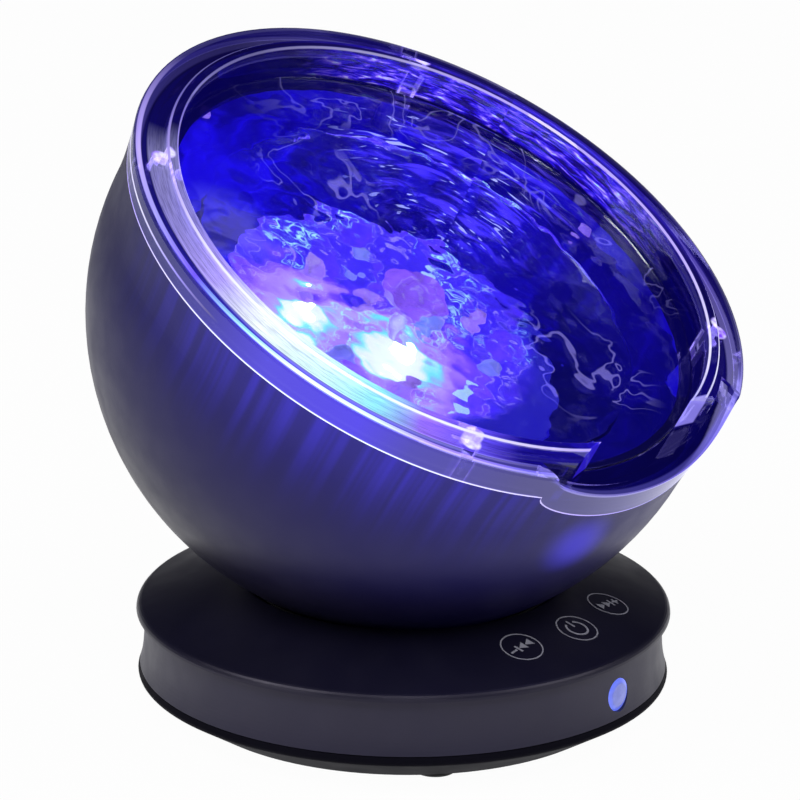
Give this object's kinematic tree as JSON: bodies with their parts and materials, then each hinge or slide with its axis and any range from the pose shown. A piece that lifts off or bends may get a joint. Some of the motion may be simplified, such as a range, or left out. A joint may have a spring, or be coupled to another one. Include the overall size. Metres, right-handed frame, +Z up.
{
  "type": "ocean wave projector lamp",
  "caption": "Tilting ball lamp on a low round base; lamps under a turning rippled disc and a rippled clear cover throw moving water light on the ceiling.",
  "frame": {"origin": "centre of the base, on the plane that the feet stand on", "axes": "+Z up, -Y to the front, where the touch keys and the receiver window are and towards which the head tips"},
  "size_m": [0.1472, 0.14, 0.1449],
  "materials": {
    "base_plastic": "satin moulded, near black",
    "band_plastic": "satin moulded, dark grey",
    "tray_plastic": "satin moulded, near black",
    "foot_rubber": "matte",
    "screw_steel": "zinc plated",
    "eye_plastic": "translucent, lit from behind",
    "dark_epoxy": "moulded epoxy",
    "green_board": "solder mask",
    "copper_foil": "copper foil",
    "jack_plastic": "moulded",
    "speaker_steel": "pressed",
    "cone_paper": "pressed paper",
    "magnet_ferrite": "ferrite",
    "pad_felt": "felt",
    "post_steel": "turned",
    "saddle_plastic": "slippery moulded",
    "spring_steel": "hardened",
    "nut_brass": "turned",
    "shell_plastic": "satin moulded, near-black navy",
    "clear_rim": "clear, polished",
    "clear_window": "clear, rippled",
    "chamber_plastic": "moulded, lit blue",
    "white_board": "solder mask, lit",
    "lamp_blue": "clear lamp, lit",
    "lamp_green": "clear lamp",
    "lamp_red": "clear lamp",
    "motor_steel": "plated can",
    "shaft_steel": "ground",
    "hub_plastic": "clear",
    "clear_disc": "clear, rippled"
  },
  "bodies": {
    "base": {"base_top": "base_plastic", "base_band": "band_plastic", "base_tray": "tray_plastic", "rubber_feet": "foot_rubber", "tray_screws": "screw_steel", "receiver_window": "eye_plastic", "ir_receiver": "dark_epoxy", "control_board": "green_board", "touch_pads": "copper_foil", "power_jack": "jack_plastic", "audio_jack": "jack_plastic", "speaker_frame": "speaker_steel", "speaker_cone": "cone_paper", "speaker_magnet": "magnet_ferrite", "socket_pad": "pad_felt", "neck_post": "post_steel", "tilt_saddle": "saddle_plastic", "disc_springs": "spring_steel", "clamp_nut": "nut_brass"},
    "head": {"head_shell": "shell_plastic", "cover_rim": "clear_rim", "wave_window": "clear_window", "light_chamber": "chamber_plastic", "chamber_screws": "screw_steel", "lamp_board": "white_board", "lamps_blue": "lamp_blue", "lamps_green": "lamp_green", "lamps_red": "lamp_red", "gear_motor": "motor_steel", "motor_screws": "screw_steel"},
    "wave_rotor": {"motor_shaft": "shaft_steel", "disc_hub": "hub_plastic", "wave_disc": "clear_disc"}
  },
  "joints": [
    {"name": "head_tilt", "type": "hinge", "parent": "base", "child": "head", "pos_m": [0, 0, 0.0915], "axis": [1, 0, 0], "range_deg": [-27, 0]},
    {"name": "wave_spin", "type": "hinge", "parent": "head", "child": "wave_rotor", "pos_m": [0, 0, 0.0915], "axis": [0, -0.5, 0.866], "continuous": true}
  ]
}
